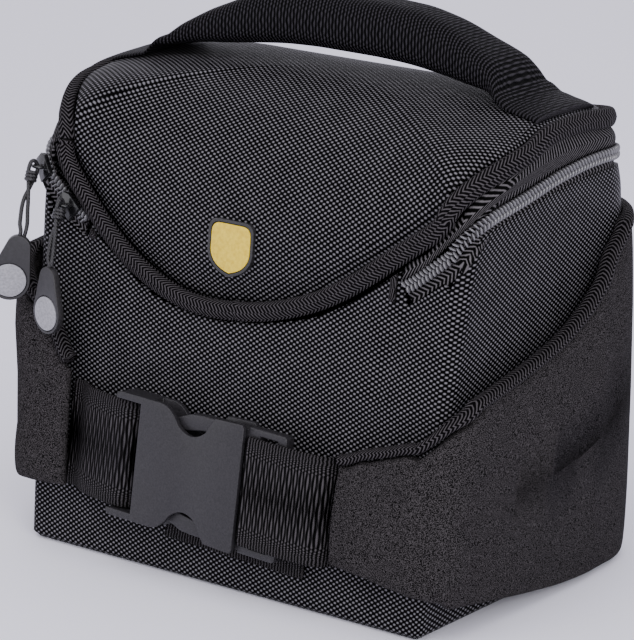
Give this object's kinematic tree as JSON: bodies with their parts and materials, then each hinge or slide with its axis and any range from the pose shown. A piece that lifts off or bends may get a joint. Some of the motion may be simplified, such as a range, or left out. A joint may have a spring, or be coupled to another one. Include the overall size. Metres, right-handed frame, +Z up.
{
  "type": "bag",
  "caption": "Bicycle handlebar bag in black nylon with a zipped padded lid, a carrying handle and a padded waist belt closed by a side-release buckle",
  "frame": {"origin": "middle of the flat base, on the surface the bag stands on", "axes": "+X to the viewer's right when facing the belt buckle, +Y towards the handlebar side (back), +Z up"},
  "size_m": [0.2522, 0.1692, 0.2407],
  "materials": {
    "nylon": "coarse basket weave, matte",
    "binding": "herringbone tape, matte",
    "webbing": "ribbed webbing, matte",
    "foam_knit": "fine knit over foam, matte",
    "coil": "glossy nylon coil",
    "slider": "black enamel, satin",
    "cord": "braided cord, slight sheen",
    "tab_rubber": "moulded rubber, matte",
    "disc": "satin grey",
    "badge_rubber": "moulded rubber, matte",
    "badge_yellow": "moulded rubber, satin",
    "buckle": "fine texture, satin"
  },
  "bodies": {
    "root": {"body_shell": "nylon", "lid_panel": "nylon", "lid_binding": "binding", "zip_gusset": "binding", "zip_coil": "coil", "zip_tape_lower": "binding", "zip_stop_right": "binding", "zip_stop_left": "binding", "slider_upper": "slider", "slider_lower": "slider", "pull_cord_upper": "cord", "pull_cord_lower": "cord", "pull_tab_upper": "tab_rubber", "pull_tab_lower": "tab_rubber", "pull_disc_upper": "disc", "pull_disc_lower": "disc", "badge_rim": "badge_rubber", "badge_face": "badge_yellow", "handle": "webbing", "wing_right": "foam_knit", "wing_left": "foam_knit", "wing_binding_right": "binding", "wing_binding_left": "binding", "strap_left": "webbing", "strap_right": "webbing", "strap_tail": "webbing", "buckle_socket": "buckle", "buckle_plug": "buckle", "mount_plate": "buckle"}
  },
  "joints": []
}
